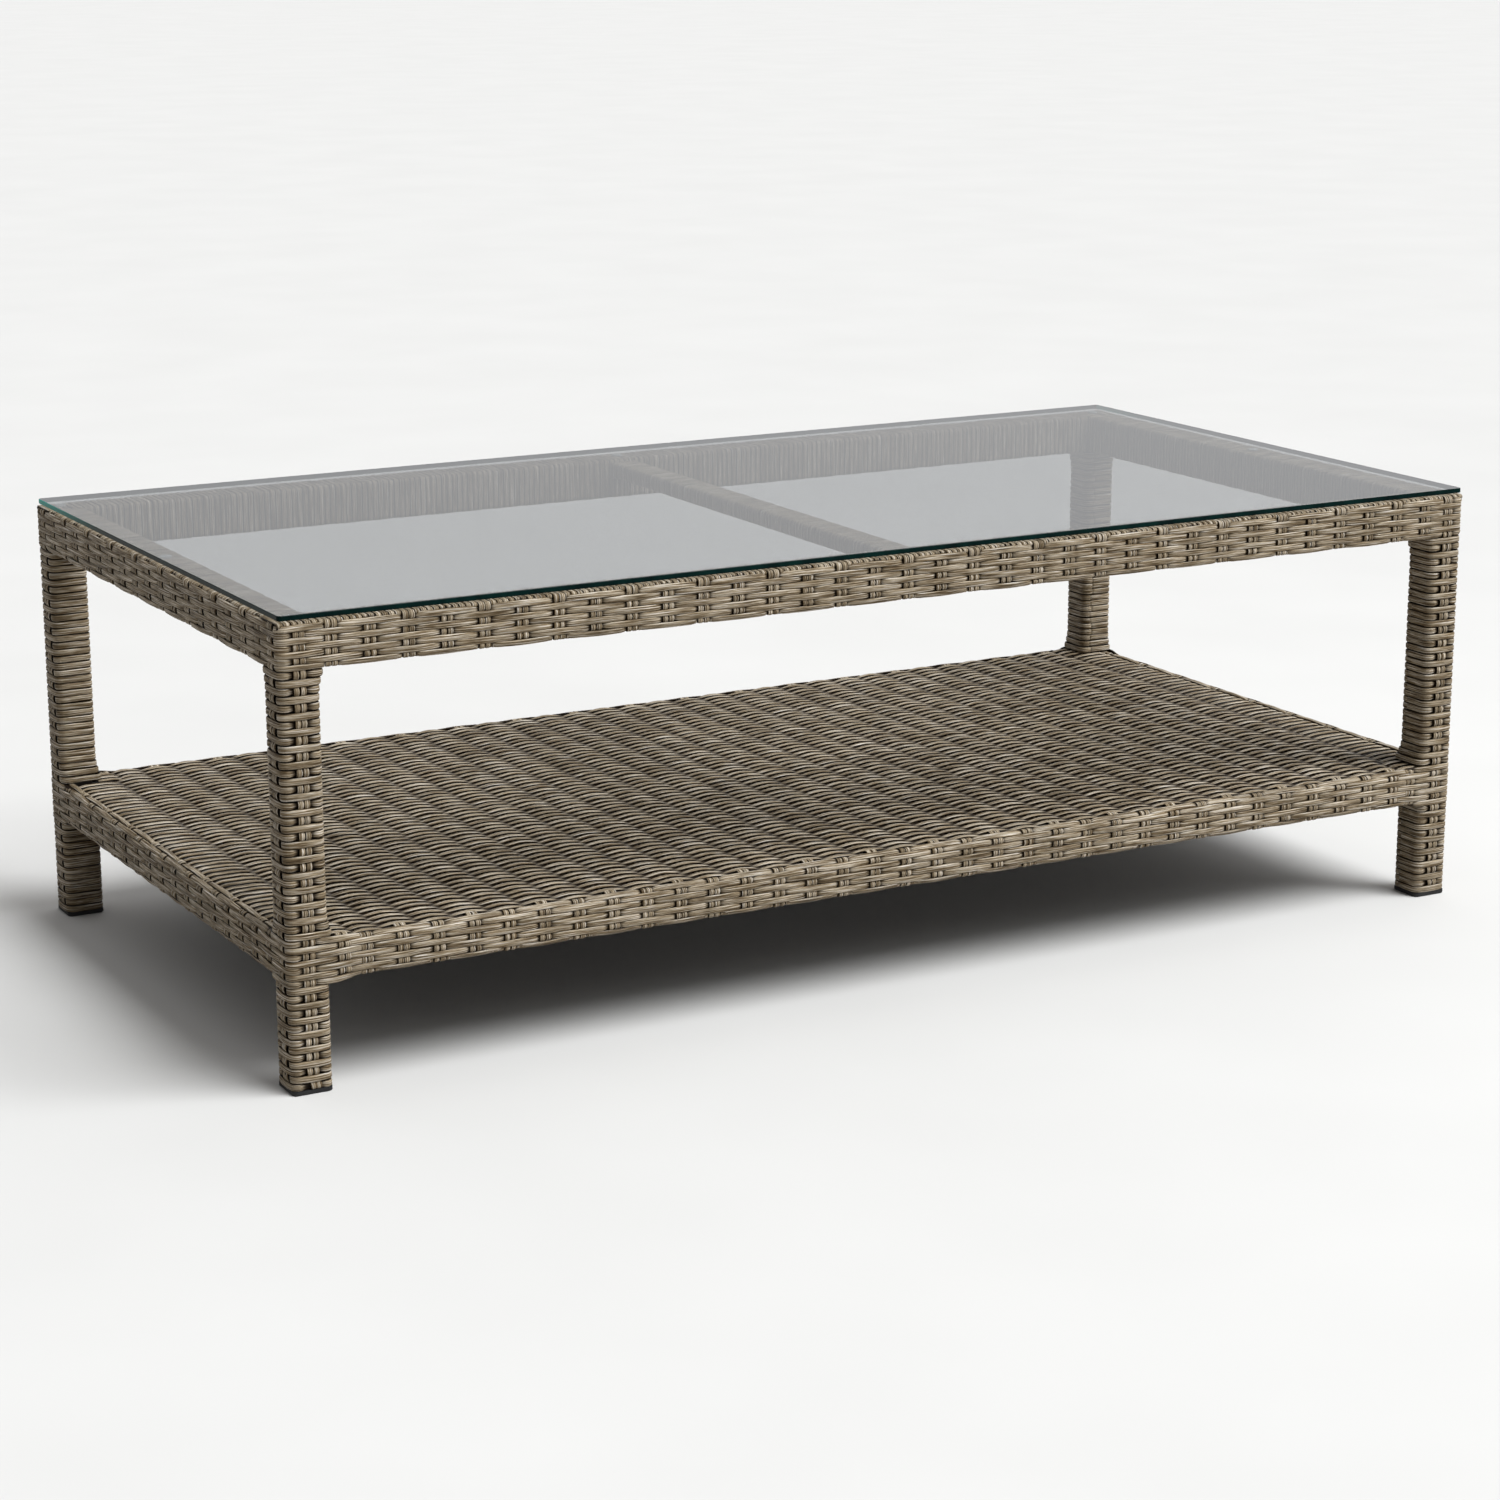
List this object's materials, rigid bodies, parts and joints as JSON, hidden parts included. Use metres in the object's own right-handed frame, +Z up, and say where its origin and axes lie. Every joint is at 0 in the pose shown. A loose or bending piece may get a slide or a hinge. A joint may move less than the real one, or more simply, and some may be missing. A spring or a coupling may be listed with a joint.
{
  "type": "wicker coffee table",
  "caption": "Rectangular low table with square legs, a woven apron and a woven lower shelf, and a loose clear glass top.",
  "frame": {"origin": "on the floor under the middle of the table", "axes": "+Z up, +X along the long side, -Y towards the front long side"},
  "size_m": [1.35, 0.69, 0.45],
  "materials": {
    "frame_tube": "mill finish, hidden under the weave",
    "woven_strand": "grey-beige mottled half-round strand, satin",
    "foot_plastic": "black, satin",
    "clear_pad": "clear soft pad",
    "top_glass": "clear tempered glass with a polished green edge"
  },
  "bodies": {
    "frame": {"leg_tube_front_left": "frame_tube", "leg_tube_front_right": "frame_tube", "leg_tube_back_left": "frame_tube", "leg_tube_back_right": "frame_tube", "top_rail_front": "frame_tube", "top_rail_back": "frame_tube", "top_rail_left": "frame_tube", "top_rail_right": "frame_tube", "top_cross_bar": "frame_tube", "shelf_rail_front": "frame_tube", "shelf_rail_back": "frame_tube", "shelf_rail_left": "frame_tube", "shelf_rail_right": "frame_tube", "shelf_bar_left": "frame_tube", "shelf_bar_right": "frame_tube", "leg_weave_front_left": "woven_strand", "leg_weave_front_right": "woven_strand", "leg_weave_back_left": "woven_strand", "leg_weave_back_right": "woven_strand", "top_weave_front": "woven_strand", "top_weave_back": "woven_strand", "top_weave_left": "woven_strand", "top_weave_right": "woven_strand", "cross_bar_weave": "woven_strand", "shelf_weave_front": "woven_strand", "shelf_weave_back": "woven_strand", "shelf_weave_left": "woven_strand", "shelf_weave_right": "woven_strand", "shelf_weave_panel": "woven_strand", "foot_cap_front_left": "foot_plastic", "foot_cap_front_right": "foot_plastic", "foot_cap_back_left": "foot_plastic", "foot_cap_back_right": "foot_plastic", "glass_pads": "clear_pad"},
    "glass": {"glass_top": "top_glass"}
  },
  "joints": [
    {"name": "glass_lift", "type": "slide", "parent": "frame", "child": "glass", "axis": [0, 0, 1], "range_m": [0, 0.1]}
  ]
}
